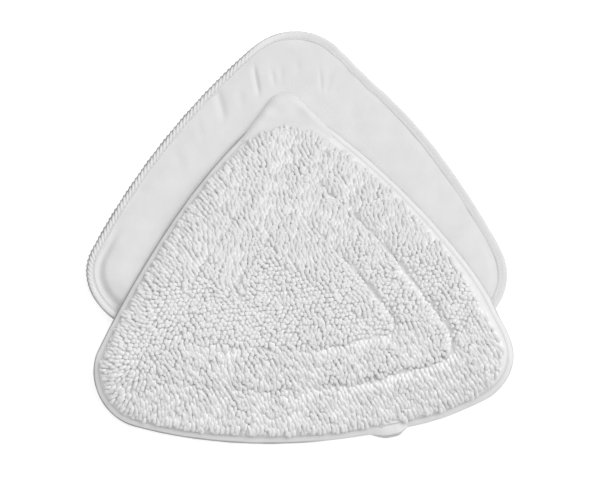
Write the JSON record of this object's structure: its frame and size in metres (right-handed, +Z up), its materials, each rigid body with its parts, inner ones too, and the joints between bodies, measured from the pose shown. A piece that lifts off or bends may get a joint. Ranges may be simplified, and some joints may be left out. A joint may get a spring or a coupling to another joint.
{
  "type": "pair of steam mop pads",
  "caption": "Pair of washable triangular steam mop pads, each a looped microfibre face over wadding and a brushed backing, bound with tape and quilted; one lies half over the other.",
  "frame": {"origin": "middle of the pair's footprint, on the floor", "axes": "+Z up, +Y towards the noses of the pads, +X to the right with the noses pointing away"},
  "size_m": [0.3051, 0.2938, 0.0219],
  "materials": {
    "pile": "matt looped microfibre pile",
    "backing": "matt brushed knit",
    "wadding": "matt bonded fibre",
    "tape": "matt ribbed tape",
    "thread": "spun polyester thread"
  },
  "bodies": {
    "lower_pad": {"lower_pile_cloth": "pile", "lower_wadding": "wadding", "lower_backing_cloth": "backing", "lower_edge_tape": "tape", "lower_tape_end": "tape", "lower_tape_needle_thread": "thread", "lower_tape_bobbin_thread": "thread", "lower_outer_quilt_needle_thread": "thread", "lower_outer_quilt_bobbin_thread": "thread", "lower_inner_quilt_needle_thread": "thread", "lower_inner_quilt_bobbin_thread": "thread"},
    "upper_pad": {"upper_pile_cloth": "pile", "upper_wadding": "wadding", "upper_backing_cloth": "backing", "upper_edge_tape": "tape", "upper_tape_end": "tape", "upper_tape_needle_thread": "thread", "upper_tape_bobbin_thread": "thread", "upper_outer_quilt_needle_thread": "thread", "upper_outer_quilt_bobbin_thread": "thread", "upper_inner_quilt_needle_thread": "thread", "upper_inner_quilt_bobbin_thread": "thread"}
  },
  "joints": [
    {"name": "upper_pad_lift", "type": "slide", "parent": "lower_pad", "child": "upper_pad", "axis": [0, 0, 1], "range_m": [0, 0.06]}
  ]
}
